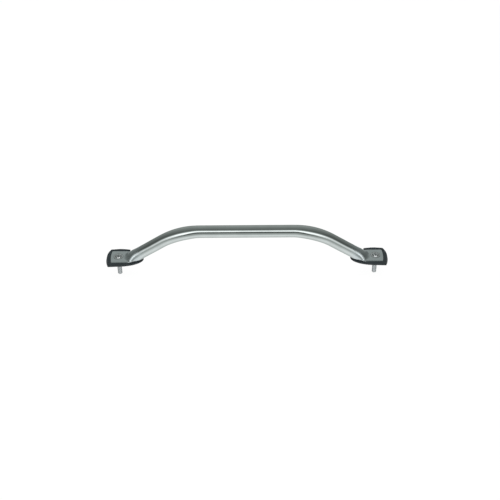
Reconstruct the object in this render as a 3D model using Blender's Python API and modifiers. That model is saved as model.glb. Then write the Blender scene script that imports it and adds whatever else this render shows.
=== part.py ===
"""Grab rail for a boat: one bent stainless tube with pressed flat ends, on two moulded pads.

Frame: +X along the hand bar, +Z up from the deck, +Y across the rail. The origin is on the mounting
plane (the undersides of the pads), midway between the two fixing screws. Units are metres.
"""

import math

import bmesh
import bpy

# ---- driving dimensions -------------------------------------------------------------------------
INCH = 0.0254
GAP = 0.0003                        # air left between two pieces that touch

SCREW_SPACING = 18 * INCH           # between the two fixing screws
SCREW_X = SCREW_SPACING / 2

# tube
TUBE_DIAMETER = 0.875 * INCH
TUBE_RADIUS = TUBE_DIAMETER / 2
TUBE_WALL = 0.00135
BAR_AXIS_Z = 0.0608                 # height of the hand bar's axis over the deck
BEND_RADIUS = 0.1256                # of the tube's axis, between the bar and a leg
LEG_SLOPE = math.radians(33.5)
LEG_FOOT = 0.0249                   # inboard of the screw, where the leg's axis meets the plate

# pressed flat end of the tube
PLATE_THICKNESS = 2 * TUBE_WALL + GAP
PLATE_HALF_WIDTH = 0.0173
PLATE_END = 0.0120                  # corner of the plate, outboard of the screw
PLATE_END_BULGE = 0.0018            # how far the curved end stands past its corners
PLATE_NECK = (0.012, 0.038)         # inboard of the screw, where the plate narrows to the tube
PLATE_EDGE_SHARE = 0.38             # part of the section's half height that folds round the plate's edge
PLATE_SPREAD_POWER = 3              # how much of the widening happens near the plate's edges
CROWN_FROM = 0.026                  # the tube's top dips faster than its axis from here outboard
CROWN_END = 0.012                   # about where it reaches the plate, inboard of the screw
CROWN_DIP = 0.0033                  # extra drop there
FLOOR_BLEND = 0.0012                # softness of the line where the tube is pressed flat below
CREASE_BLEND = 0.0030               # softness of the crease where it rises from the plate
BELLY_SQUARING = (0.030, 0.046)     # inboard of the screw, where the tube's lower side is part flattened
BELLY_POWER = 3.4                   # its curve across the tube at the plate, 2 being a true ellipse

# base pad
PAD_FLOOR = 0.0027
PAD_RIM = 0.0063                    # height of the rim over the deck
PAD_TONGUE = 0.0445                 # tip of the tongue, inboard of the screw
PAD_HALF_WIDTH = 0.0214
PAD_FOOT_CORNER = (0.0176, 0.0222)  # lower outboard corner
PAD_FOOT_END = 0.0222               # lower edge of the outboard end
PAD_RIM_CORNER = (0.0144, 0.0197)   # upper outboard corner
PAD_RIM_END = 0.0206                # upper edge of the outboard end
PAD_RIM_HALF_WIDTH = 0.0212
PAD_RIM_STOP = (0.0178, 0.0223)     # where the rim ends inboard, at its inner and its outer side
POCKET_CLEARANCE = 0.0004           # around the plate

# fixing screw, raised countersunk
SHANK_DIAMETER = 0.3125 * INCH
SCREW_LENGTH = 1.5 * INCH           # from the plate's top face to the tip
HEAD_DIAMETER = 0.0159
HEAD_HALF_ANGLE = math.radians(41)
HEAD_RISE = 0.0024                  # height of the domed top over the plate
HEAD_LIP = 0.0004                   # straight side of the head, under the dome
TIP_CHAMFER = 0.0009
DOME_POWER = 4                      # the dome falls away ever faster towards its edge
RECESS_DIAMETER = 0.0104
RECESS_DEPTH = 0.0040
RECESS_SLOT = 0.0026                # width of one wing of the cross
RECESS_TAPER = 0.55                 # size of the recess at its bottom, as a share of its size on top

# mesh resolution
TUBE_SIDES = 32
BEND_STEPS = 8
ROUND_STEPS = 32
DOME_STEPS = 6
END_ARC_STEPS = 10
TONGUE_STEPS = 28
LEANING_RINGS = ((0.062, 1.0), (0.056, 0.66), (0.050, 0.33))    # inboard of the screw, share of the slope
UPRIGHT_RINGS_MM = (44, 40, 36, 32, 28, 25, 22, 19.5, 17, 14.5, 12, 9.5, 0, -9)

# ---- derived ------------------------------------------------------------------------------------
PLATE_BOTTOM = PAD_FLOOR + GAP
PLATE_TOP = PLATE_BOTTOM + PLATE_THICKNESS
PLATE_MIDDLE = (PLATE_BOTTOM + PLATE_TOP) / 2
BEND_DROP = BEND_RADIUS * (1 - math.cos(LEG_SLOPE))
LEG_TOP_Z = BAR_AXIS_Z - BEND_DROP
LEG_TOP_X = SCREW_X - LEG_FOOT - (LEG_TOP_Z - PLATE_MIDDLE) / math.tan(LEG_SLOPE)
BAR_HALF_LENGTH = LEG_TOP_X - BEND_RADIUS * math.sin(LEG_SLOPE)


# ---- scene --------------------------------------------------------------------------------------
def clear_scene():
    for thing in list(bpy.data.objects):
        bpy.data.objects.remove(thing, do_unlink=True)


def new_collection(name):
    collection = bpy.data.collections.new(name)
    bpy.context.scene.collection.children.link(collection)
    return collection


def material(name, colour, roughness, metallic):
    made = bpy.data.materials.new(name)
    made.use_nodes = True
    shader = made.node_tree.nodes["Principled BSDF"]
    shader.inputs["Base Color"].default_value = (*colour, 1.0)
    shader.inputs["Roughness"].default_value = roughness
    shader.inputs["Metallic"].default_value = metallic
    made.diffuse_color = (*colour, 1.0)
    return made


def add_object(name, mesh, collection, look=None):
    thing = bpy.data.objects.new(name, mesh)
    collection.objects.link(thing)
    if look is not None:
        mesh.materials.append(look)
    return thing


def as_cutter(thing):
    thing.hide_render = True
    thing.display_type = "WIRE"


def cut(thing, cutter, name):
    modifier = thing.modifiers.new(name, "BOOLEAN")
    modifier.operation = "DIFFERENCE"
    modifier.solver = "EXACT"
    modifier.object = cutter


def shade_round(mesh, sharp_degrees=35):
    mesh.shade_smooth()
    mesh.set_sharp_from_angle(angle=math.radians(sharp_degrees))


def turned(name, profile, collection, look=None):
    """Solid of revolution about Z. profile runs down the outer side as (radius, z) points."""
    mesh = bpy.data.meshes.new(name)
    points = [(radius, 0.0, z) for radius, z in profile]
    edges = [(i, i + 1) for i in range(len(points) - 1)]
    mesh.from_pydata(points, edges, [])
    thing = add_object(name, mesh, collection, look)
    screw = thing.modifiers.new("turn", "SCREW")
    screw.steps = ROUND_STEPS
    screw.render_steps = ROUND_STEPS
    screw.use_merge_vertices = True
    screw.merge_threshold = 0.00001
    return thing


def flat_outline(name, outline, z_low, z_high, collection):
    """A closed (x, y) outline extruded from z_low to z_high, as a closed mesh."""
    curve = bpy.data.curves.new(name, "CURVE")
    curve.dimensions = "2D"
    curve.fill_mode = "BOTH"
    curve.extrude = (z_high - z_low) / 2
    spline = curve.splines.new("POLY")
    spline.points.add(len(outline) - 1)
    for point, (x, y) in zip(spline.points, outline):
        point.co = (x, y, 0.0, 1.0)
    spline.use_cyclic_u = True
    drawn = add_object(name + "_outline", curve, collection)
    drawn.location.z = (z_low + z_high) / 2
    bpy.context.view_layer.update()
    evaluated = drawn.evaluated_get(bpy.context.evaluated_depsgraph_get())
    mesh = bpy.data.meshes.new_from_object(evaluated)
    welded = bmesh.new()
    welded.from_mesh(mesh)
    bmesh.ops.remove_doubles(welded, verts=welded.verts, dist=0.00001)
    welded.to_mesh(mesh)
    welded.free()
    thing = add_object(name, mesh, collection)
    thing.matrix_world = drawn.matrix_world.copy()
    bpy.data.objects.remove(drawn)
    return thing


def arc(centre_x, centre_y, radius, start, end, steps):
    """Points on an arc in the XY plane, angles in radians, both ends included."""
    angles = [start + (end - start) * i / steps for i in range(steps + 1)]
    return [(centre_x + radius * math.cos(a), centre_y + radius * math.sin(a)) for a in angles]


# ---- tube ---------------------------------------------------------------------------------------
def smooth_step(low, high, value):
    t = min(max((value - low) / (high - low), 0.0), 1.0)
    return t * t * (3 - 2 * t)


def soft_max(a, b, blend):
    """The larger of a and b, with the corner between them rounded over the length blend."""
    near = max(blend - abs(a - b), 0.0) / blend
    return max(a, b) + near * near * blend / 4


def leg_axis_z(inboard):
    return PLATE_MIDDLE + (inboard - LEG_FOOT) * math.tan(LEG_SLOPE)


def round_ring(centre_x, centre_z, tilt, slope):
    """A slice through the round tube. The slice leans outboard by tilt, and the tube falls at slope."""
    stretch = TUBE_RADIUS / math.cos(slope - tilt)
    ring = []
    for i in range(TUBE_SIDES):
        turn = 2 * math.pi * i / TUBE_SIDES
        rise = stretch * math.sin(turn)
        ring.append((
            centre_x + rise * math.sin(tilt),
            TUBE_RADIUS * math.cos(turn),
            centre_z + rise * math.cos(tilt),
        ))
    return ring


def pressed_ring(inboard, bulge=0.0):
    """An upright slice through the pressed end, this far inboard of the screw (outboard if negative)."""
    axis_z = leg_axis_z(inboard)
    dip_share = max(CROWN_FROM - inboard, 0.0) / (CROWN_FROM - CROWN_END)
    crown = TUBE_RADIUS / math.cos(LEG_SLOPE) - CROWN_DIP * dip_share ** 2
    half_width = PLATE_HALF_WIDTH + (TUBE_RADIUS - PLATE_HALF_WIDTH) * smooth_step(*PLATE_NECK, inboard)
    belly_power = BELLY_POWER + (2 - BELLY_POWER) * smooth_step(*BELLY_SQUARING, inboard)
    ring = []
    for i in range(TUBE_SIDES):
        turn = 2 * math.pi * i / TUBE_SIDES
        across = math.cos(turn)
        side = min(max(math.sin(turn) / PLATE_EDGE_SHARE, -1.0), 1.0)
        y = across * (TUBE_RADIUS + (half_width - TUBE_RADIUS) * abs(across) ** PLATE_SPREAD_POWER)
        pressed_z = PLATE_MIDDLE + side * PLATE_THICKNESS / 2
        if 0 < i < TUBE_SIDES // 2:
            z = soft_max(axis_z + crown * math.sin(turn), pressed_z, CREASE_BLEND)
        else:
            belly = (1 - abs(across) ** belly_power) ** (1 / belly_power)
            z = soft_max(axis_z - crown * belly, pressed_z, FLOOR_BLEND)
        x = SCREW_X - inboard + bulge * (1 - (y / half_width) ** 2)
        ring.append((x, y, z))
    return ring


def tube_rings():
    """Rings of one half of the tube, from the middle of the bar out to the end of the plate."""
    rings = [round_ring(0.0, BAR_AXIS_Z, 0.0, 0.0)]
    for i in range(BEND_STEPS + 1):
        slope = LEG_SLOPE * i / BEND_STEPS
        x = BAR_HALF_LENGTH + BEND_RADIUS * math.sin(slope)
        z = BAR_AXIS_Z - BEND_RADIUS * (1 - math.cos(slope))
        rings.append(round_ring(x, z, slope, slope))
    for inboard, lean in LEANING_RINGS:
        rings.append(round_ring(SCREW_X - inboard, leg_axis_z(inboard), LEG_SLOPE * lean, LEG_SLOPE))
    for millimetres in UPRIGHT_RINGS_MM:
        rings.append(pressed_ring(millimetres / 1000))
    rings.append(pressed_ring(-PLATE_END, PLATE_END_BULGE))
    return rings


def make_tube(collection, look, cutters):
    mesh = bpy.data.meshes.new("rail_tube")
    loft = bmesh.new()
    rings = [[loft.verts.new(point) for point in ring] for ring in tube_rings()]
    for inner, outer in zip(rings, rings[1:]):
        for i in range(TUBE_SIDES):
            after = (i + 1) % TUBE_SIDES
            loft.faces.new((inner[i], outer[i], outer[after], inner[after]))
    bmesh.ops.recalc_face_normals(loft, faces=loft.faces)
    loft.to_mesh(mesh)
    loft.free()
    tube = add_object("rail_tube", mesh, collection, look)
    mirror = tube.modifiers.new("other_half", "MIRROR")
    mirror.use_axis = (True, False, False)
    mirror.use_mirror_merge = True
    mirror.merge_threshold = 0.00005
    wall = tube.modifiers.new("wall", "SOLIDIFY")
    wall.thickness = TUBE_WALL
    wall.offset = -1.0
    wall.use_even_offset = True
    wall.use_rim = True
    for side, cutter in cutters.items():
        cut(tube, cutter, side + "_screw_hole")
    shade_round(mesh)
    return tube


# ---- base pads ----------------------------------------------------------------------------------
def end_arc(corner, end):
    """Arc through a corner, the middle of the outboard end and the mirrored corner."""
    out, half = corner
    radius = (half ** 2 + (end - out) ** 2) / (2 * (end - out))
    reach = math.asin(half / radius)
    return arc(end - radius, 0.0, radius, -reach, reach, END_ARC_STEPS)


def tongue(half_width):
    """Half ellipse from the far side round the inboard tip to the near side."""
    points = []
    for i in range(TONGUE_STEPS + 1):
        turn = math.pi / 2 + math.pi * i / TONGUE_STEPS
        points.append((PAD_TONGUE * math.cos(turn), half_width * math.sin(turn)))
    return points


def pad_outline(corner, end, half_width):
    """Closed outline of the pad about its screw, with x pointing outboard."""
    return end_arc(corner, end) + tongue(half_width)


def pocket_outline():
    """Plan of what is taken out over the floor: the plate's pocket and all that is past the rim's ends."""
    half = PLATE_HALF_WIDTH + POCKET_CLEARANCE
    inner_stop, outer_stop = PAD_RIM_STOP
    beyond = 1.5 * PAD_TONGUE           # both well past the pad
    wide = 1.3 * PAD_HALF_WIDTH
    skew = (outer_stop - inner_stop) / (PAD_RIM_HALF_WIDTH - half)
    far_stop = inner_stop + skew * (wide - half)
    corner = (PLATE_END + POCKET_CLEARANCE, half)
    points = end_arc(corner, corner[0] + PLATE_END_BULGE)
    upper = [(-inner_stop, half), (-far_stop, wide), (-beyond, wide)]
    lower = [(x, -y) for x, y in reversed(upper)]
    return points + upper + lower


def make_pad(name, side, collection, look, cutters, screw_cutter):
    mesh = bpy.data.meshes.new(name)
    body = bmesh.new()
    foot = pad_outline(PAD_FOOT_CORNER, PAD_FOOT_END, PAD_HALF_WIDTH)
    rim = pad_outline(PAD_RIM_CORNER, PAD_RIM_END, PAD_RIM_HALF_WIDTH)
    low = [body.verts.new((side * (SCREW_X + x), y, 0.0)) for x, y in foot]
    high = [body.verts.new((side * (SCREW_X + x), y, PAD_RIM)) for x, y in rim]
    for i in range(len(low)):
        after = (i + 1) % len(low)
        body.faces.new((low[i], low[after], high[after], high[i]))
    body.faces.new(low)
    body.faces.new(high)
    bmesh.ops.recalc_face_normals(body, faces=body.faces)
    body.to_mesh(mesh)
    body.free()
    pad = add_object(name, mesh, collection, look)
    outline = [(side * (SCREW_X + x), y) for x, y in pocket_outline()]
    pocket = flat_outline(name + "_pocket", outline, PAD_FLOOR, 2 * PAD_RIM, cutters)
    as_cutter(pocket)
    cut(pad, pocket, "pocket")
    cut(pad, screw_cutter, "screw_hole")
    return pad


# ---- fixing screws ------------------------------------------------------------------------------
def screw_profile(clearance, dome_steps):
    """Down the screw's outer side from the top of its dome, grown by clearance."""
    radius = HEAD_DIAMETER / 2
    shank = SHANK_DIAMETER / 2
    lip_bottom = PLATE_TOP - HEAD_LIP
    cone_bottom = lip_bottom - (radius - shank) / math.tan(HEAD_HALF_ANGLE)
    tip = PLATE_TOP - SCREW_LENGTH
    profile = []
    for i in range(dome_steps + 1):
        share = i / dome_steps
        profile.append((radius * share, PLATE_TOP + HEAD_RISE * (1 - share ** DOME_POWER)))
    profile.append((radius, lip_bottom))
    profile.append((shank, cone_bottom))
    profile.append((shank, tip + TIP_CHAMFER))
    profile.append((shank - TIP_CHAMFER, tip))
    profile.append((0.0, tip))
    return [(distance + clearance if distance > 0 else 0.0, z) for distance, z in profile]


def make_screw_cutter(name, side, cutters):
    """The screw's own shape with clearance all round, and straight up over the head."""
    lower = [point for point in screw_profile(GAP, 1) if point[1] <= PLATE_TOP]
    top = PLATE_TOP + 2 * HEAD_RISE
    below = [(radius, z - (GAP if radius == 0.0 or z < 0 else 0.0)) for radius, z in lower]
    profile = [(0.0, top), (below[0][0], top)] + below
    cutter = turned(name, profile, cutters)
    cutter.location.x = side * SCREW_X
    as_cutter(cutter)
    return cutter


def make_recess_cutter(name, side, cutters):
    """Cross of two tapered blades that points down into the head."""
    mesh = bpy.data.meshes.new(name)
    cross = bmesh.new()
    top = PLATE_TOP + 1.5 * HEAD_RISE
    bottom = PLATE_TOP + HEAD_RISE - RECESS_DEPTH
    half_long = RECESS_DIAMETER / 2
    half_wide = RECESS_SLOT / 2
    outline = [
        (half_long, half_wide), (half_wide, half_wide), (half_wide, half_long),
        (-half_wide, half_long), (-half_wide, half_wide), (-half_long, half_wide),
        (-half_long, -half_wide), (-half_wide, -half_wide), (-half_wide, -half_long),
        (half_wide, -half_long), (half_wide, -half_wide), (half_long, -half_wide),
    ]
    base = [cross.verts.new((x * RECESS_TAPER, y * RECESS_TAPER, bottom)) for x, y in outline]
    lid = [cross.verts.new((x, y, top)) for x, y in outline]
    for i in range(len(outline)):
        after = (i + 1) % len(outline)
        cross.faces.new((base[i], base[after], lid[after], lid[i]))
    cross.faces.new(base)
    cross.faces.new(lid)
    bmesh.ops.recalc_face_normals(cross, faces=cross.faces)
    cross.to_mesh(mesh)
    cross.free()
    cutter = add_object(name, mesh, cutters)
    cutter.location.x = side * SCREW_X
    as_cutter(cutter)
    return cutter


def make_screw(name, side, collection, look, cutters):
    screw = turned(name, screw_profile(0.0, DOME_STEPS), collection, look)
    screw.location.x = side * SCREW_X
    cut(screw, make_recess_cutter(name + "_recess", side, cutters), "recess")
    return screw


# ---- assembly -----------------------------------------------------------------------------------
def main():
    clear_scene()
    parts = new_collection("grab_rail")
    cutters = new_collection("grab_rail_cutters")
    steel = material("polished_steel", (0.62, 0.64, 0.64), 0.12, 1.0)
    screw_steel = material("screw_steel", (0.60, 0.62, 0.62), 0.22, 1.0)
    black = material("black_pad", (0.028, 0.033, 0.035), 0.55, 0.0)
    sides = {"left": -1, "right": 1}
    holes = {name: make_screw_cutter(name + "_hole", side, cutters) for name, side in sides.items()}
    make_tube(parts, steel, holes)
    for name, side in sides.items():
        make_pad(name + "_base_pad", side, parts, black, cutters, holes[name])
        make_screw(name + "_screw", side, parts, screw_steel, cutters)


main()
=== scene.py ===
"""Looks of the grab rail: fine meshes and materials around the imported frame. Units are metres."""

import math

import bmesh
import bpy
from mathutils import Matrix, Vector


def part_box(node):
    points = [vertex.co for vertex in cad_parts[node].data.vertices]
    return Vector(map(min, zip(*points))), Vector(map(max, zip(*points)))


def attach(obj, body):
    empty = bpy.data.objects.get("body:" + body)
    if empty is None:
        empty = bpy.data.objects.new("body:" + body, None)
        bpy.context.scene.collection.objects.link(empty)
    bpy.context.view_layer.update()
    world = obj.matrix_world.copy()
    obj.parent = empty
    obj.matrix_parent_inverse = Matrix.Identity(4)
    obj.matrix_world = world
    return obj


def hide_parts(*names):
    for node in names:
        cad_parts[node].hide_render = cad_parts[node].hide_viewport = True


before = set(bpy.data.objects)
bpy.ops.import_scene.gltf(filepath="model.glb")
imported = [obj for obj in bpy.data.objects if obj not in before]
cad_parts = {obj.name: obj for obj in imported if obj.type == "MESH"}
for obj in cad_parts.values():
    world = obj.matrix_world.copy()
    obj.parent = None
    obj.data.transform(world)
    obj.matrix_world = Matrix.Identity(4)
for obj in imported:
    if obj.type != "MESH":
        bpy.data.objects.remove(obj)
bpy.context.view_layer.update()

# ---- sizes read from the frame ----------------------------------------------------------------------
tube_low, tube_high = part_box("rail_tube")
screw_low, screw_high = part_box("right_screw")
pad_low, pad_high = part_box("right_base_pad")

SCREW_X = (screw_low.x + screw_high.x) / 2
SCREW_TIP = screw_low.z
HEAD_TOP = screw_high.z
HEAD_RADIUS = (screw_high.y - screw_low.y) / 2
PLATE_END = tube_high.x - SCREW_X           # middle of the curved end, outboard of the screw
PLATE_HALF_WIDTH = tube_high.y
PLATE_BOTTOM = tube_low.z
PAD_TONGUE = SCREW_X - pad_low.x
PAD_FOOT_END = pad_high.x - SCREW_X
PAD_FOOT_CORNER_Y = pad_high.y
PAD_RIM = pad_high.z

# ---- sizes of the design that the boxes don't give --------------------------------------------------
INCH = 0.0254
GAP = 0.0003
TUBE_RADIUS = 0.875 * INCH / 2
TUBE_WALL = 0.00135
BAR_AXIS_Z = tube_high.z - TUBE_RADIUS
BEND_RADIUS = 0.1256
BEND_SWELL = 0.07                           # how much bending has spread the tube, as a share
LEG_SWELL = 0.02                            # what is left of it in the legs
SWELL_RISES = (0.0, 0.4)                    # shares of the bend over which the swelling grows
SWELL_FALLS = (0.55, 1.0)                   # and fades to the leg's
SWELL_SIDEWAYS = 1.5                        # what the swelling does across the rail,
SWELL_UPRIGHT = 0.6                         # in the plane of the bend,
SWELL_SINK = 0.5                            # and to the height of the axis
LEG_SLOPE = math.radians(33.5)
LEG_FOOT = 0.0249                           # inboard of the screw, where the leg's axis meets the plate
PLATE_THICKNESS = 2 * TUBE_WALL + GAP
PLATE_TOP = PLATE_BOTTOM + PLATE_THICKNESS
PLATE_MIDDLE = PLATE_BOTTOM + PLATE_THICKNESS / 2
PLATE_END_BULGE = 0.0018                    # how far the curved end stands past its corners
PLATE_CORNER = PLATE_END - PLATE_END_BULGE
LIP_RADIUS = 0.0004                         # rounded edge of the sheet at the open end

# The pressed end. Pairs are distances inboard of the screw between which something changes.
PLATE_NECK = (0.012, 0.038)                 # the plate narrows to the tube
PLATE_SPREAD_POWER = 3                      # how much of the widening happens near the plate's edges
EDGE_SHARE = 0.38                           # part of the section's half height that folds round the edge
CROWN_FROM = 0.026                          # the crown dips faster than the leg's axis from here outboard
CROWN_END = 0.012                           # about where it reaches the plate
CROWN_DIP = 0.0033                          # extra drop there
CROWN_HALF_WIDTH = 0.0124                   # of the crown at the plate
CROWN_OPENS = (0.012, 0.029)                # the crown widens to the whole tube
CROWN_FLANK = 0.12                          # added at the plate to the power 1/2 of round flanks
FLANK_STEEPENS = (0.026, 0.042)             # the flanks become round
BELLY_SQUARE = 1.4                          # added at the plate to the power 2 of a round lower side
BELLY_SOFTENS = (0.030, 0.046)              # the lower side becomes round
FLOOR_BLEND = 0.0012                        # softness of the line where the tube is pressed flat below
CREASE_BLEND = 0.0044                       # softness of the crease where it rises from the plate

PAD_FLOOR = PLATE_BOTTOM - GAP
PAD_HALF_WIDTH = 0.0214
PAD_FOOT_CORNER_X = 0.0176
PAD_RIM_CORNER = (0.0144, 0.0197)
PAD_RIM_END = 0.0206
PAD_RIM_HALF_WIDTH = 0.0212
PAD_RIM_STOP = (0.0178, 0.0223)             # where the rim ends inboard, at its inner and its outer side
POCKET_CLEARANCE = 0.0004
PAD_EDGE = 0.0005                           # rounding of the moulded edges

SHANK_RADIUS = 0.3125 * INCH / 2
THREAD_PITCH = INCH / 18
THREAD_DEPTH = 0.61 * THREAD_PITCH
THREAD_CREST = 0.35                         # flat crest of the thread, as a share of half a pitch
THREAD_FLANK = 0.50                         # its flank, as the same kind of share
THREAD_START = 0.001                        # plain shank under the head's cone
HEAD_HALF_ANGLE = math.radians(41)
HEAD_RISE = HEAD_TOP - PLATE_TOP
HEAD_LIP = 0.0004
SEAT_GAP = 0.0005                           # between the head and its countersink
CAP_RADIUS = 0.0044                         # of the head's nearly flat top
CAP_DROP = 0.0003
SKIRT_RADIUS = 0.0060                       # where the shoulder ends and the low skirt begins
SKIRT_RISE = 0.0004                         # height of the skirt there, over the plate
TIP_CHAMFER = 0.0009
RECESS_DIAMETER = 0.0118
RECESS_DEPTH = 0.0040
RECESS_SLOT = 0.0017                        # width of one wing, where its flared sides begin
RECESS_DRAFT = 0.1                          # how steeply half a wing narrows below its flared sides
RECESS_FLARE_DEPTH = 0.0008
RECESS_FLARE_SLOPE = math.radians(72)
RECESS_END_SLOPE = math.radians(64)
RECESS_OVERSHOOT = 0.0006                   # how far the cutter stands over the head

SIDES = {"left": -1, "right": 1}            # which way x points from the middle


# ---- mesh resolution --------------------------------------------------------------------------------
TUBE_SIDES = 144
BAR_SHARES = (0.25, 0.5, 0.75)              # rings along half of the bar
BEND_STEPS = 40
LEG_LEANING_UNTIL = 0.066                   # rings turn from square on the leg, inboard of the screw,
LEG_UPRIGHT_FROM = 0.046                    # to upright here
LEANING_STEPS = 14
UPRIGHT_STEP = 0.0006
UPRIGHT_UNTIL = 0.008
PLATE_STATIONS = (0.004, 0.0, -0.004, -0.008)   # rings of the flat plate, inboard of the screw
LIP_STEPS = 4
SCREW_SIDES = 72
HEAD_STEPS = 16
STEPS_PER_PITCH = 10
CHAMFER_STEPS = 6
PAD_END_STEPS = 24
PAD_TONGUE_STEPS = 64
PAD_EDGE_STEPS = 3
PAD_BEVEL_DEGREES = 35                      # sharper corners than this get the moulded edge
TUBE_SHARP_DEGREES = 38                     # and these stay sharp in the shading
SCREW_SHARP_DEGREES = 30
PAD_SHARP_DEGREES = 50


# ---- helpers ----------------------------------------------------------------------------------------
def smooth_step(low, high, value):
    t = min(max((value - low) / (high - low), 0.0), 1.0)
    return t * t * (3 - 2 * t)


def soft_max(a, b, blend):
    """The larger of a and b, with the corner between them rounded over the length blend."""
    near = max(blend - abs(a - b), 0.0) / blend
    return max(a, b) + near * near * blend / 4


def link(name, mesh):
    thing = bpy.data.objects.new(name, mesh)
    bpy.context.scene.collection.objects.link(thing)
    return thing


def mesh_from(name, vertices, faces):
    mesh = bpy.data.meshes.new(name)
    mesh.from_pydata(vertices, [], faces)
    mesh.validate()
    return mesh


def face_outward(mesh):
    shape = bmesh.new()
    shape.from_mesh(mesh)
    bmesh.ops.recalc_face_normals(shape, faces=shape.faces)
    shape.to_mesh(mesh)
    shape.free()


def settle(thing):
    """Replaces the object's mesh by its evaluated one, so that no modifier is left."""
    bpy.context.view_layer.update()
    evaluated = thing.evaluated_get(bpy.context.evaluated_depsgraph_get())
    mesh = bpy.data.meshes.new_from_object(evaluated)
    thing.modifiers.clear()
    thing.data = mesh


def triangulate(thing, most_sides=3):
    """Splits the faces with more sides than this into triangles."""
    shape = bmesh.new()
    shape.from_mesh(thing.data)
    big = [face for face in shape.faces if len(face.verts) > most_sides]
    bmesh.ops.triangulate(shape, faces=big, quad_method="BEAUTY", ngon_method="BEAUTY")
    shape.to_mesh(thing.data)
    shape.free()


def cut(thing, cutter):
    """Takes the cutter's shape out of the object, and removes the cutter."""
    modifier = thing.modifiers.new("cut", "BOOLEAN")
    modifier.operation = "DIFFERENCE"
    modifier.solver = "EXACT"
    modifier.object = cutter
    settle(thing)
    bpy.data.objects.remove(cutter)


def shade_round(mesh, sharp_degrees):
    mesh.shade_smooth()
    mesh.set_sharp_from_angle(angle=math.radians(sharp_degrees))


def prism(name, low_outline, low_z, high_outline, high_z):
    """Closed solid between two outlines with the same number of (x, y) points."""
    count = len(low_outline)
    vertices = [(x, y, low_z) for x, y in low_outline] + [(x, y, high_z) for x, y in high_outline]
    faces = [(i, (i + 1) % count, (i + 1) % count + count, i + count) for i in range(count)]
    faces.append(tuple(range(count)))
    faces.append(tuple(range(count, 2 * count)))
    mesh = mesh_from(name, vertices, faces)
    face_outward(mesh)
    return link(name, mesh)


# ---- tube -------------------------------------------------------------------------------------------
def leg_axis_z(inboard):
    return PLATE_MIDDLE + (inboard - LEG_FOOT) * math.tan(LEG_SLOPE)


def round_ring(centre_x, centre_z, tilt, slope, inset, swell=0.0):
    """A slice through the round tube, or through its bore where inset is the wall's thickness.

    swell is how much bending has spread the tube: most of it sideways, less in the plane of the bend.
    """
    radius = TUBE_RADIUS - inset
    half_width = radius * (1 + SWELL_SIDEWAYS * swell)
    stretch = radius * (1 + SWELL_UPRIGHT * swell) / math.cos(slope - tilt)
    ring = []
    for i in range(TUBE_SIDES):
        turn = 2 * math.pi * i / TUBE_SIDES
        rise = stretch * math.sin(turn)
        ring.append((
            centre_x + rise * math.sin(tilt),
            half_width * math.cos(turn),
            centre_z + rise * math.cos(tilt),
        ))
    return ring


def pressed_ring(inboard, inset, bulge=0.0, thinner=0.0):
    """An upright slice through the pressed end, this far inboard of the screw (outboard if negative).

    The round leg sinks into a flat plate with folded edges. Towards the plate its crown narrows and its
    lower side flattens. inset is the wall's thickness for the bore, and thinner makes the sheet's lip.
    """
    radius = TUBE_RADIUS - inset
    axis_z = leg_axis_z(inboard)
    below = max(CROWN_FROM - inboard, 0.0) / (CROWN_FROM - CROWN_END)
    crown = TUBE_RADIUS / math.cos(LEG_SLOPE) - CROWN_DIP * below ** 2 - inset
    belly_power = 2 + BELLY_SQUARE * (1 - smooth_step(*BELLY_SOFTENS, inboard))
    flat = PLATE_HALF_WIDTH - inset
    half_width = flat + (radius - flat) * smooth_step(*PLATE_NECK, inboard)
    crown_half = CROWN_HALF_WIDTH - inset
    crown_half += (half_width - crown_half) * smooth_step(*CROWN_OPENS, inboard)
    flank = 0.5 + CROWN_FLANK * (1 - smooth_step(*FLANK_STEEPENS, inboard))
    half_thickness = PLATE_THICKNESS / 2 - inset - thinner
    ring = []
    for i in range(TUBE_SIDES):
        turn = 2 * math.pi * i / TUBE_SIDES
        across = math.cos(turn)
        side = min(max(math.sin(turn) / EDGE_SHARE, -1.0), 1.0)
        y = across * (radius + (half_width - radius) * abs(across) ** PLATE_SPREAD_POWER)
        pressed_z = PLATE_MIDDLE + side * half_thickness
        if 0 < i < TUBE_SIDES // 2:
            arch = max(1 - (y / crown_half) ** 2, 0.0) ** flank
            z = soft_max(axis_z + crown * arch, pressed_z, CREASE_BLEND)
        else:
            belly = (1 - abs(across) ** belly_power) ** (1 / belly_power)
            z = soft_max(axis_z - crown * belly, pressed_z, FLOOR_BLEND)
        x = SCREW_X - inboard + bulge * (1 - (y / half_width) ** 2)
        ring.append((x, y, z))
    return ring


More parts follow.
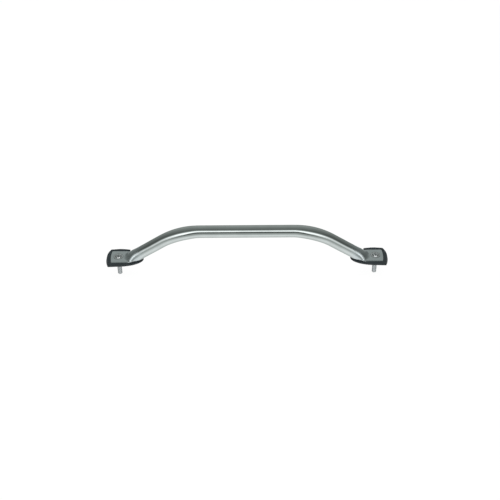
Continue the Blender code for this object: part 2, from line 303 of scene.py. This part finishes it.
def half_tube(inset):
    """Rings from just past the middle of the bar out to the plate, on the right."""
    leg_top_z = BAR_AXIS_Z - BEND_RADIUS * (1 - math.cos(LEG_SLOPE))
    leg_top_x = SCREW_X - LEG_FOOT - (leg_top_z - PLATE_MIDDLE) / math.tan(LEG_SLOPE)
    bar_end = leg_top_x - BEND_RADIUS * math.sin(LEG_SLOPE)
    rings = []
    for share in BAR_SHARES:
        rings.append(round_ring(bar_end * share, BAR_AXIS_Z, tilt=0.0, slope=0.0, inset=inset))
    for i in range(BEND_STEPS + 1):
        slope = LEG_SLOPE * i / BEND_STEPS
        x = bar_end + BEND_RADIUS * math.sin(slope)
        z = BAR_AXIS_Z - BEND_RADIUS * (1 - math.cos(slope))
        share = i / BEND_STEPS
        swell = BEND_SWELL * smooth_step(*SWELL_RISES, share)
        swell += (LEG_SWELL - BEND_SWELL) * smooth_step(*SWELL_FALLS, share)
        z -= SWELL_SINK * swell * TUBE_RADIUS
        rings.append(round_ring(x, z, slope, slope, inset, swell))
    for i in range(1, LEANING_STEPS):
        inboard = LEG_LEANING_UNTIL - (LEG_LEANING_UNTIL - LEG_UPRIGHT_FROM) * i / LEANING_STEPS
        lean = 1 - smooth_step(0, LEANING_STEPS, i)
        swell = LEG_SWELL * lean
        z = leg_axis_z(inboard) - SWELL_SINK * swell * TUBE_RADIUS
        rings.append(round_ring(SCREW_X - inboard, z, LEG_SLOPE * lean, LEG_SLOPE, inset, swell))
    inboard = LEG_UPRIGHT_FROM
    while inboard > UPRIGHT_UNTIL:
        rings.append(pressed_ring(inboard, inset))
        inboard -= UPRIGHT_STEP
    for inboard in PLATE_STATIONS:
        rings.append(pressed_ring(inboard, inset))
    return rings


def open_end():
    """Rings round the lip of the sheet at the end of the plate, from the outside to the slit."""
    rings = []
    for i in range(LIP_STEPS + 1):
        turn = math.pi / 2 * i / LIP_STEPS
        reach = PLATE_CORNER - LIP_RADIUS * (1 - math.sin(turn))
        rings.append(pressed_ring(-reach, 0.0, PLATE_END_BULGE, LIP_RADIUS * (1 - math.cos(turn))))
    rings.append(pressed_ring(-PLATE_CORNER, TUBE_WALL, PLATE_END_BULGE))
    return rings


def tube_rings():
    """All rings in order: out along the right half, back along its bore, and the same on the left."""
    right = half_tube(inset=0.0) + open_end() + list(reversed(half_tube(inset=TUBE_WALL)))
    left = [[(-x, y, z) for x, y, z in ring] for ring in reversed(right)]
    middle_out = round_ring(0.0, BAR_AXIS_Z, tilt=0.0, slope=0.0, inset=0.0)
    middle_in = round_ring(0.0, BAR_AXIS_Z, tilt=0.0, slope=0.0, inset=TUBE_WALL)
    return [middle_out] + right + [middle_in] + left


def ring_lengths(rings):
    """Distance along the loft at each ring, by the ring's middle, with one more at the end."""
    middles = [sum((Vector(p) for p in ring), Vector()) / len(ring) for ring in rings]
    lengths = [0.0]
    for a, b in zip(middles, middles[1:] + middles[:1]):
        lengths.append(lengths[-1] + (b - a).length)
    return lengths


def unwrap_tube(mesh, rings):
    """Gives each corner its distances along and around the tube, in metres."""
    lengths = ring_lengths(rings)
    layer = mesh.uv_layers.new(name="along_and_around")
    around = 2 * math.pi * TUBE_RADIUS
    for polygon in mesh.polygons:
        ring_index, side_index = divmod(polygon.index, TUBE_SIDES)
        following = (ring_index + 1) % len(rings)
        last = ring_index + 1 == len(rings)
        for loop_index in polygon.loop_indices:
            vertex = mesh.loops[loop_index].vertex_index
            ring, side = divmod(vertex, TUBE_SIDES)
            length = lengths[-1] if last and ring == following else lengths[ring]
            turned = side + TUBE_SIDES if side < side_index else side
            layer.data[loop_index].uv = (length, around * turned / TUBE_SIDES)


def make_tube():
    rings = tube_rings()
    vertices = [point for ring in rings for point in ring]
    faces = []
    for j in range(len(rings)):
        start = j * TUBE_SIDES
        following = (j + 1) % len(rings) * TUBE_SIDES
        for i in range(TUBE_SIDES):
            after = (i + 1) % TUBE_SIDES
            faces.append((start + i, following + i, following + after, start + after))
    mesh = mesh_from("rail_tube_fine", vertices, faces)
    unwrap_tube(mesh, rings)
    face_outward(mesh)
    tube = link("rail_tube_fine", mesh)
    for side in SIDES.values():
        cut(tube, screw_seat_cutter(side))
    triangulate(tube, most_sides=4)
    shade_round(tube.data, TUBE_SHARP_DEGREES)
    return tube


# ---- screws -----------------------------------------------------------------------------------------
def cone_bottom():
    return PLATE_TOP - HEAD_LIP - (HEAD_RADIUS - SHANK_RADIUS) / math.tan(HEAD_HALF_ANGLE)


def screw_seat_cutter(side):
    """What the plate and the pad give way to: the head's cone and the shank, with clearance."""
    radius = HEAD_RADIUS + SEAT_GAP
    shank = SHANK_RADIUS + GAP
    profile = [
        (radius, HEAD_TOP),
        (radius, PLATE_TOP - HEAD_LIP),
        (shank, cone_bottom()),
        (shank, SCREW_TIP),
    ]
    return turned("screw_seat", profile, side)


def turned(name, profile, side, threaded=None):
    """Solid of revolution on a screw's axis. threaded(radius, z, turn) is a depth to take off."""
    vertices = []
    for radius, z in profile:
        for i in range(SCREW_SIDES):
            turn = 2 * math.pi * i / SCREW_SIDES
            r = radius - (threaded(radius, z, turn) if threaded else 0.0)
            vertices.append((side * SCREW_X + r * math.cos(turn), r * math.sin(turn), z))
    faces = []
    for j in range(len(profile) - 1):
        for i in range(SCREW_SIDES):
            after = (i + 1) % SCREW_SIDES
            a, b = j * SCREW_SIDES, (j + 1) * SCREW_SIDES
            faces.append((a + i, b + i, b + after, a + after))
    faces.append(tuple(range(SCREW_SIDES)))
    faces.append(tuple(range((len(profile) - 1) * SCREW_SIDES, len(profile) * SCREW_SIDES)))
    mesh = mesh_from(name, vertices, faces)
    face_outward(mesh)
    return link(name, mesh)


def thread_cut(radius, z, turn):
    """Depth of a 60 degree thread at this height and angle, fading in under the head's cone."""
    start = cone_bottom() - THREAD_START
    if z > start:
        return 0.0
    phase = (z / THREAD_PITCH + turn / (2 * math.pi)) % 1.0
    groove = 1 - abs(2 * phase - 1)
    shaped = min(max((groove - THREAD_CREST) / THREAD_FLANK, 0.0), 1.0)
    fade = min((start - z) / THREAD_PITCH, 1.0)
    return THREAD_DEPTH * shaped * fade * min(1.0, radius / SHANK_RADIUS)


def head_profile():
    """Raised cap, a rounded shoulder and a low skirt out to the countersink: (radius, z) points."""
    shoulder = HEAD_RISE - CAP_DROP - SKIRT_RISE
    points = []
    for i in range(HEAD_STEPS):
        share = (i + 0.5) / HEAD_STEPS
        points.append((CAP_RADIUS * share, HEAD_TOP - CAP_DROP * share ** 2))
    for i in range(HEAD_STEPS + 1):
        share = i / HEAD_STEPS
        radius = CAP_RADIUS + (SKIRT_RADIUS - CAP_RADIUS) * share
        points.append((radius, HEAD_TOP - CAP_DROP - shoulder * smooth_step(0, 1, share)))
    for i in range(1, HEAD_STEPS + 1):
        share = i / HEAD_STEPS
        radius = SKIRT_RADIUS + (HEAD_RADIUS - SKIRT_RADIUS) * share
        points.append((radius, PLATE_TOP + SKIRT_RISE * (1 - share ** 2)))
    points.append((HEAD_RADIUS, PLATE_TOP - HEAD_LIP))
    return points


def screw_profile():
    """The whole screw: head, cone, shank in short steps for the thread, and the tip's chamfer."""
    profile = head_profile()
    profile.append((SHANK_RADIUS, cone_bottom()))
    step = THREAD_PITCH / STEPS_PER_PITCH
    z = cone_bottom() - step
    while z > SCREW_TIP + TIP_CHAMFER:
        profile.append((SHANK_RADIUS, z))
        z -= step
    for i in range(CHAMFER_STEPS + 1):
        share = i / CHAMFER_STEPS
        profile.append((SHANK_RADIUS - TIP_CHAMFER * share, SCREW_TIP + TIP_CHAMFER * (1 - share)))
    return profile


def recess_outline(long, wide):
    """Cross with arms of this half length and half width, as 12 (x, y) points."""
    quarter = [(long, -wide), (long, wide), (wide, wide)]
    points = []
    for turn in range(4):
        c, s = round(math.cos(turn * math.pi / 2)), round(math.sin(turn * math.pi / 2))
        points += [(c * x - s * y, s * x + c * y) for x, y in quarter]
    return points


def recess_levels():
    """(half length, half width, depth) of the recess at its bottom, where it flares, and over the head."""
    end_draft = 1 / math.tan(RECESS_END_SLOPE)
    flare = 1 / math.tan(RECESS_FLARE_SLOPE)
    levels = []
    for depth in (RECESS_DEPTH, RECESS_FLARE_DEPTH, -RECESS_OVERSHOOT):
        draft = flare if depth < RECESS_FLARE_DEPTH else RECESS_DRAFT
        half_length = RECESS_DIAMETER / 2 - depth * end_draft
        half_width = RECESS_SLOT / 2 + (RECESS_FLARE_DEPTH - depth) * draft
        levels.append((half_length, half_width, depth))
    return levels


def recess_cutter(side):
    """Cross recess: steep below, with flared sides near the surface of the head."""
    vertices = []
    for half_length, half_width, depth in recess_levels():
        for x, y in recess_outline(half_length, half_width):
            vertices.append((side * SCREW_X + x, y, HEAD_TOP - depth))
    count = len(vertices) // 3
    faces = [tuple(range(count)), tuple(range(2 * count, 3 * count))]
    for start in (0, count):
        for i in range(count):
            after = (i + 1) % count
            faces.append((start + i, start + after, start + after + count, start + i + count))
    mesh = mesh_from("recess", vertices, faces)
    face_outward(mesh)
    return link("recess", mesh)


def make_screw(name, side):
    screw = turned(name, screw_profile(), side, thread_cut)
    cut(screw, recess_cutter(side))
    triangulate(screw, most_sides=4)
    shade_round(screw.data, SCREW_SHARP_DEGREES)
    return screw


# ---- pads -------------------------------------------------------------------------------------------
def end_arc(corner, end):
    """Arc through a corner, the middle of the outboard end and the mirrored corner."""
    out, half = corner
    radius = (half ** 2 + (end - out) ** 2) / (2 * (end - out))
    reach = math.asin(half / radius)
    angles = [-reach + 2 * reach * i / PAD_END_STEPS for i in range(PAD_END_STEPS + 1)]
    return [(end - radius + radius * math.cos(a), radius * math.sin(a)) for a in angles]


def pad_outline(corner, end, half_width):
    """Closed outline of the pad about its screw, with x pointing outboard."""
    points = end_arc(corner, end)
    for i in range(PAD_TONGUE_STEPS + 1):
        turn = math.pi / 2 + math.pi * i / PAD_TONGUE_STEPS
        points.append((PAD_TONGUE * math.cos(turn), half_width * math.sin(turn)))
    return points


def pocket_outline():
    """Plan of what is taken out over the floor: the plate's pocket and all that is past the rim's ends."""
    half = PLATE_HALF_WIDTH + POCKET_CLEARANCE
    inner_stop, outer_stop = PAD_RIM_STOP
    beyond = 1.5 * PAD_TONGUE               # both well past the pad
    wide = 1.3 * PAD_HALF_WIDTH
    skew = (outer_stop - inner_stop) / (PAD_RIM_HALF_WIDTH - half)
    far_stop = inner_stop + skew * (wide - half)
    corner = (PLATE_CORNER + POCKET_CLEARANCE, half)
    upper = [(-inner_stop, half), (-far_stop, wide), (-beyond, wide)]
    lower = [(x, -y) for x, y in reversed(upper)]
    return end_arc(corner, corner[0] + PLATE_END_BULGE) + upper + lower


def make_pad(name, side):
    def place(outline):
        return [(side * (SCREW_X + x), y) for x, y in outline]

    foot = place(pad_outline((PAD_FOOT_CORNER_X, PAD_FOOT_CORNER_Y), PAD_FOOT_END, PAD_HALF_WIDTH))
    rim = place(pad_outline(PAD_RIM_CORNER, PAD_RIM_END, PAD_RIM_HALF_WIDTH))
    pad = prism(name, foot, 0.0, rim, PAD_RIM)
    pocket = prism("pocket", place(pocket_outline()), PAD_FLOOR, place(pocket_outline()), 2 * PAD_RIM)
    cut(pad, pocket)
    cut(pad, screw_seat_cutter(side))
    triangulate(pad)
    bevel = pad.modifiers.new("moulded_edges", "BEVEL")
    bevel.width = PAD_EDGE
    bevel.segments = PAD_EDGE_STEPS
    bevel.limit_method = "ANGLE"
    bevel.angle_limit = math.radians(PAD_BEVEL_DEGREES)
    settle(pad)
    triangulate(pad)
    shade_round(pad.data, PAD_SHARP_DEGREES)
    return pad


# ---- materials --------------------------------------------------------------------------------------
NOISE_LOW = 0.3
NOISE_HIGH = 0.7


class Look:
    """A material with a few shorthands for wiring its nodes."""

    def __init__(self, name):
        self.material = bpy.data.materials.new(name)
        self.material.use_nodes = True
        self.tree = self.material.node_tree
        self.shader = self.tree.nodes["Principled BSDF"]

    def node(self, kind, inputs=None, **settings):
        made = self.tree.nodes.new(kind)
        for key, value in settings.items():
            setattr(made, key, value)
        for key, value in (inputs or {}).items():
            if isinstance(value, bpy.types.NodeSocket):
                self.tree.links.new(value, made.inputs[key])
            else:
                made.inputs[key].default_value = value
        return made

    def noise(self, vector, scale, detail=3.0, roughness=0.55):
        inputs = {"Vector": vector, "Scale": scale, "Detail": detail, "Roughness": roughness}
        return self.node("ShaderNodeTexNoise", inputs).outputs["Fac"]

    def stretch(self, vector, scale):
        return self.node("ShaderNodeMapping", {"Vector": vector, "Scale": scale}).outputs["Vector"]

    def map_range(self, value, from_min, from_max, to_min=0.0, to_max=1.0):
        inputs = {"Value": value, "From Min": from_min, "From Max": from_max}
        inputs.update({"To Min": to_min, "To Max": to_max})
        return self.node("ShaderNodeMapRange", inputs).outputs["Result"]

    def spread(self, noise, low, high):
        """Stretches the range that noise mostly lies in to low and high."""
        return self.map_range(noise, NOISE_LOW, NOISE_HIGH, low, high)

    def colours(self, noise, low, high):
        ramp = self.node("ShaderNodeValToRGB", {"Fac": noise})
        for element, at, colour in zip(ramp.color_ramp.elements, (NOISE_LOW, NOISE_HIGH), (low, high)):
            element.position = at
            element.color = (*colour, 1.0)
        return ramp.outputs["Color"]

    def mix_colours(self, factor, a, b):
        mix = self.node("ShaderNodeMix", data_type="RGBA")
        inputs = [socket for socket in mix.inputs if socket.enabled]
        for socket, value in zip(inputs, (factor, a, b)):
            self.tree.links.new(value, socket)
        return [socket for socket in mix.outputs if socket.enabled][0]

    def bump(self, height, distance, strength, under=None):
        inputs = {"Height": height, "Distance": distance, "Strength": strength}
        if under is not None:
            inputs["Normal"] = under
        return self.node("ShaderNodeBump", inputs).outputs["Normal"]

    def join(self, socket, value):
        self.tree.links.new(value, self.shader.inputs[socket])


STEEL_DARK = (0.455, 0.492, 0.484)
STEEL_LIGHT = (0.515, 0.556, 0.548)
PRESSED_DARK = (0.483, 0.530, 0.540)
PRESSED_LIGHT = (0.545, 0.598, 0.609)
PRESSED_FROM = 0.178                        # distance from the middle where the pressed ends' steel starts
PRESSED_WHOLLY = 0.196
PRESSED_DULLING = 0.24                      # extra roughness of the pressed ends
SCREW_DARK = (0.50, 0.525, 0.53)
SCREW_LIGHT = (0.60, 0.62, 0.63)
RUBBER_DARK = (0.016, 0.0215, 0.0240)
RUBBER_LIGHT = (0.025, 0.0325, 0.0360)
RUBBER_SHINE = 0.2
STEEL_ROUGHNESS = (0.05, 0.11)
SCREW_ROUGHNESS = (0.13, 0.22)
RUBBER_ROUGHNESS = (0.42, 0.60)
POLISHING_LINES = (60.0, 2600.0, 1.0)       # how many per metre along the tube and around it


def steel_look():
    """Fine polishing lines along the tube and faint waves. The pressed ends are duller."""
    look = Look("polished_stainless_tube")
    look.shader.inputs["Metallic"].default_value = 1.0
    uv = look.node("ShaderNodeUVMap", uv_map="along_and_around").outputs["UV"]
    place = look.node("ShaderNodeTexCoord").outputs["Object"]
    lines = look.noise(look.stretch(uv, POLISHING_LINES), scale=1.0, detail=4.0, roughness=0.6)
    clouds = look.noise(place, scale=45.0, detail=4.0)
    waves = look.noise(place, scale=130.0, detail=2.0)
    grain = look.noise(place, scale=5200.0, detail=2.0)
    x = look.node("ShaderNodeSeparateXYZ", {"Vector": place}).outputs["X"]
    outboard = look.node("ShaderNodeMath", {0: x}, operation="ABSOLUTE").outputs["Value"]
    pressed = look.map_range(outboard, PRESSED_FROM, PRESSED_WHOLLY)
    bar_colour = look.colours(clouds, STEEL_DARK, STEEL_LIGHT)
    end_colour = look.colours(clouds, PRESSED_DARK, PRESSED_LIGHT)
    look.join("Base Color", look.mix_colours(pressed, bar_colour, end_colour))
    streaks = look.node("ShaderNodeMix", {"Factor": 0.5, "A": clouds, "B": lines}).outputs["Result"]
    polish = look.spread(streaks, *STEEL_ROUGHNESS)
    dulled = {0: pressed, 1: PRESSED_DULLING, 2: polish}
    dulled = look.node("ShaderNodeMath", dulled, operation="MULTIPLY_ADD").outputs["Value"]
    look.join("Roughness", dulled)
    normal = look.bump(waves, distance=0.00012, strength=0.25)
    normal = look.bump(lines, distance=0.000012, strength=0.35, under=normal)
    normal = look.bump(grain, distance=0.000008, strength=0.3, under=normal)
    look.join("Normal", normal)
    return look.material


def screw_look():
    look = Look("bright_screw_steel")
    look.shader.inputs["Metallic"].default_value = 1.0
    place = look.node("ShaderNodeTexCoord").outputs["Object"]
    clouds = look.noise(place, scale=400.0, detail=4.0)
    grain = look.noise(look.stretch(place, (1.0, 1.0, 5.0)), scale=3000.0, detail=3.0)
    look.join("Base Color", look.colours(clouds, SCREW_DARK, SCREW_LIGHT))
    look.join("Roughness", look.spread(clouds, *SCREW_ROUGHNESS))
    look.join("Normal", look.bump(grain, distance=0.00003, strength=0.4))
    return look.material


def pad_look():
    look = Look("moulded_black_rubber")
    place = look.node("ShaderNodeTexCoord").outputs["Object"]
    look.shader.inputs["Specular IOR Level"].default_value = RUBBER_SHINE
    clouds = look.noise(place, scale=90.0, detail=4.0)
    grain = look.noise(place, scale=2600.0, detail=3.0, roughness=0.6)
    pores = look.node("ShaderNodeTexVoronoi", {"Vector": place, "Scale": 1500.0}).outputs["Distance"]
    look.join("Base Color", look.colours(clouds, RUBBER_DARK, RUBBER_LIGHT))
    look.join("Roughness", look.spread(clouds, *RUBBER_ROUGHNESS))
    normal = look.bump(pores, distance=0.00004, strength=0.35)
    look.join("Normal", look.bump(grain, distance=0.00003, strength=0.5, under=normal))
    return look.material


def dress(piece, material):
    piece.data.materials.clear()
    piece.data.materials.append(material)
    for polygon in piece.data.polygons:
        polygon.material_index = 0


# ---- studio -----------------------------------------------------------------------------------------
BACKDROP = (0.99, 0.99, 0.99)               # what the camera sees past the floor
WHITE_LEVEL = 0.52                          # brightness in the surroundings below that shows as white
SIDE_DIMMING = 0.48                         # share by which they darken straight to the side
DIM_TINT = (0.92, 1.0, 0.95)                # colour of their darkest parts
TINT_FADE = 1.6                             # how fast that colour gives way to white with brightness
FLOOR_REACH = 30.0
FLOOR_GAP = 0.001                           # under the tips of the screws
FLOOR_GLOW = 0.97
FLOOR_COLOUR = (0.05, 0.05, 0.05)
FLOOR_ROUGHNESS = 0.9
LAMP_HEIGHT = 1.5
LAMP_SIZE = 1.6
LAMP_POWER = 22.0
CAMERA_ELEVATION = math.radians(38.73)
CAMERA_ROLL = math.radians(-0.37)
CAMERA_DISTANCE = 1.834
CAMERA_AIM = Vector((0.0055, 0.0, 0.019))
CAMERA_LENS = 74.5
SENSOR_WIDTH = 36.0


def ramp_node(tree, value, low, high, stops):
    """Brightness that changes with value, from low to high. stops are (value, brightness) pairs."""
    nodes = tree.nodes
    scaled = nodes.new("ShaderNodeMapRange")
    tree.links.new(value, scaled.inputs["Value"])
    scaled.inputs["From Min"].default_value = low
    scaled.inputs["From Max"].default_value = high
    ramp = nodes.new("ShaderNodeValToRGB")
    tree.links.new(scaled.outputs["Result"], ramp.inputs["Fac"])
    elements = ramp.color_ramp.elements
    while len(elements) < len(stops):
        elements.new(0.5)
    for element, (at, brightness) in zip(elements, stops):
        element.position = (at - low) / (high - low)
        element.color = (brightness, brightness, brightness, 1.0)
    return ramp.outputs["Color"]


def math_node(tree, operation, a, b=None):
    made = tree.nodes.new("ShaderNodeMath")
    made.operation = operation
    for i, value in enumerate((a, b)):
        if isinstance(value, bpy.types.NodeSocket):
            tree.links.new(value, made.inputs[i])
        elif value is not None:
            made.inputs[i].default_value = value
    return made.outputs["Value"]


def mixed(tree, factor, a, b):
    made = tree.nodes.new("ShaderNodeMix")
    for socket, value in (("Factor", factor), ("A", a), ("B", b)):
        tree.links.new(value, made.inputs[socket])
    return made.outputs["Result"]


def with_side(tree, base, aside, weight):
    """base plus this weight of how far the direction points to either side."""
    return math_node(tree, "ADD", base, math_node(tree, "MULTIPLY", aside, weight))


def upper_surroundings(tree, x, y, z, aside, horizon):
    """Above the horizon: a wide softbox over the camera (towards -Y), dark overhead, a dim back wall."""
    depth = ramp_node(tree, with_side(tree, y, aside, weight=-0.15), -1.15, 1.0, [
        (-1.15, 1.25), (-0.77, 1.25), (-0.70, 0.80), (-0.62, 0.33), (-0.50, 0.17), (-0.36, 0.11),
        (-0.27, 0.10), (0.0, 0.165), (0.35, 0.185), (0.65, 0.245), (0.80, 0.262), (0.90, 0.275),
        (1.0, 0.26),
    ])
    dimming = math_node(tree, "MULTIPLY", math_node(tree, "MULTIPLY", x, x), SIDE_DIMMING)
    depth = math_node(tree, "MULTIPLY", depth, math_node(tree, "SUBTRACT", 1.0, dimming))
    front = ramp_node(tree, with_side(tree, z, aside, weight=0.84), -1.0, 1.3, [
        (-1.0, 0.3), (0.0, 0.29), (0.13, 0.17), (0.20, 0.05), (0.42, 0.05), (0.48, 0.45),
        (0.57, 0.80), (0.68, 1.25),
    ])
    front = math_node(tree, "MAXIMUM", front, math_node(tree, "MULTIPLY", aside, 0.5))
    low = ramp_node(tree, z, -1.0, 1.0, [
        (-1.0, 0.42), (0.05, 0.44), (0.15, 0.52), (0.30, 0.65), (0.42, 0.98), (0.5, 1.25),
    ])
    facing = math_node(tree, "MINIMUM", math_node(tree, "MINIMUM", depth, front), low)
    backward = math_node(tree, "MULTIPLY", depth, horizon)
    is_back = ramp_node(tree, y, -1.0, 1.0, [(-0.4, 0.0), (-0.3, 1.0)])
    return mixed(tree, is_back, facing, backward)


def lower_surroundings(tree, y, z, aside, horizon):
    """Below the horizon: a grey ground, brightest some way down, and darker behind the object."""
    ahead = ramp_node(tree, with_side(tree, z, aside, weight=-0.4), -1.4, 0.2, [
        (-1.3, 0.56), (-0.95, 0.58), (-0.72, 0.66), (-0.5, 0.50), (-0.38, 0.38), (-0.25, 0.31),
        (0.0, 0.27),
    ])
    behind = ramp_node(tree, z, -1.0, 1.0, [
        (-1.0, 0.40), (-0.6, 0.42), (-0.4, 0.55), (-0.25, 0.50), (-0.1, 0.32), (0.0, 0.28),
    ])
    behind = math_node(tree, "MULTIPLY", behind, horizon)
    is_back = ramp_node(tree, y, -1.0, 1.0, [(-0.25, 0.0), (0.05, 1.0)])
    return mixed(tree, is_back, ahead, behind)


def surroundings_colour(tree):
    """Colour of the soft studio in each direction."""
    place = tree.nodes.new("ShaderNodeTexCoord").outputs["Generated"]
    split = tree.nodes.new("ShaderNodeSeparateXYZ")
    tree.links.new(place, split.inputs["Vector"])
    x, y, z = (split.outputs[axis] for axis in "XYZ")
    aside = math_node(tree, "ABSOLUTE", x)
    horizon = ramp_node(tree, z, -1.0, 1.0, [(-0.3, 1.0), (-0.12, 0.5), (0.12, 0.5), (0.22, 1.0)])
    upper = upper_surroundings(tree, x, y, z, aside, horizon)
    lower = lower_surroundings(tree, y, z, aside, horizon)
    is_upper = ramp_node(tree, z, -1.0, 1.0, [(-0.10, 0.0), (0.02, 1.0)])
    level = mixed(tree, is_upper, lower, upper)
    tint = tree.nodes.new("ShaderNodeMix")
    tint.data_type = "RGBA"
    tree.links.new(math_node(tree, "MULTIPLY", level, TINT_FADE), tint.inputs["Factor"])
    tint.inputs["A"].default_value = (*DIM_TINT, 1.0)
    tint.inputs["B"].default_value = (1.0, 1.0, 1.0, 1.0)
    lit = tree.nodes.new("ShaderNodeVectorMath")
    lit.operation = "SCALE"
    tree.links.new(tint.outputs["Result"], lit.inputs["Vector"])
    tree.links.new(level, lit.inputs["Scale"])
    return lit.outputs["Vector"]


def make_world():
    """The object is lit by and reflects the studio. The camera itself sees a plain pale backdrop."""
    world = bpy.data.worlds.new("studio")
    bpy.context.scene.world = world
    world.use_nodes = True
    tree = world.node_tree
    background = tree.nodes["Background"]
    tree.links.new(surroundings_colour(tree), background.inputs["Color"])
    background.inputs["Strength"].default_value = 1 / WHITE_LEVEL
    seen = tree.nodes.new("ShaderNodeBackground")
    seen.inputs["Color"].default_value = (*BACKDROP, 1.0)
    choice = tree.nodes.new("ShaderNodeMixShader")
    tree.links.new(tree.nodes.new("ShaderNodeLightPath").outputs["Is Camera Ray"], choice.inputs["Fac"])
    tree.links.new(background.outputs["Background"], choice.inputs[1])
    tree.links.new(seen.outputs["Background"], choice.inputs[2])
    tree.links.new(choice.outputs["Shader"], tree.nodes["World Output"].inputs["Surface"])


def make_floor():
    level = SCREW_TIP - FLOOR_GAP
    signs = [(-1, -1), (1, -1), (1, 1), (-1, 1)]
    corners = [(a * FLOOR_REACH, b * FLOOR_REACH, level) for a, b in signs]
    floor = link("floor", mesh_from("floor", corners, [(0, 1, 2, 3)]))
    look = Look("pale_floor")
    look.shader.inputs["Base Color"].default_value = (*FLOOR_COLOUR, 1.0)
    look.shader.inputs["Roughness"].default_value = FLOOR_ROUGHNESS
    look.shader.inputs["Specular IOR Level"].default_value = 0.0
    look.shader.inputs["Emission Color"].default_value = (1.0, 1.0, 1.0, 1.0)
    look.shader.inputs["Emission Strength"].default_value = FLOOR_GLOW
    dress(floor, look.material)
    floor.visible_glossy = False


def make_fill_light():
    data = bpy.data.lights.new("overhead_fill", "AREA")
    data.shape = "SQUARE"
    data.size = LAMP_SIZE
    data.energy = LAMP_POWER
    lamp = link("overhead_fill", data)
    lamp.location = (0.0, 0.0, LAMP_HEIGHT)
    lamp.visible_glossy = False


def make_camera():
    back = Vector((0.0, -math.cos(CAMERA_ELEVATION), math.sin(CAMERA_ELEVATION)))
    right = Vector((1.0, 0.0, 0.0))
    up = back.cross(right)
    rolled_right = right * math.cos(CAMERA_ROLL) + up * math.sin(CAMERA_ROLL)
    rolled_up = up * math.cos(CAMERA_ROLL) - right * math.sin(CAMERA_ROLL)
    data = bpy.data.cameras.new("camera")
    data.sensor_width = SENSOR_WIDTH
    data.lens = CAMERA_LENS
    camera = link("camera", data)
    axes = Matrix((rolled_right, rolled_up, back)).transposed().to_4x4()
    camera.matrix_world = Matrix.Translation(CAMERA_AIM + back * CAMERA_DISTANCE) @ axes
    bpy.context.scene.camera = camera


# ---- build ------------------------------------------------------------------------------------------
def main():
    bpy.context.scene.view_settings.view_transform = "Standard"
    tube = make_tube()
    dress(tube, steel_look())
    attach(tube, "root")
    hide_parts("rail_tube")
    rubber = pad_look()
    bright = screw_look()
    for name, side in SIDES.items():
        pad = make_pad(name + "_base_pad_fine", side)
        dress(pad, rubber)
        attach(pad, "root")
        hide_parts(name + "_base_pad")
        screw = make_screw(name + "_screw_fine", side)
        dress(screw, bright)
        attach(screw, "root")
        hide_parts(name + "_screw")
    make_world()
    make_floor()
    make_fill_light()
    make_camera()


main()
bpy.context.view_layer.update()
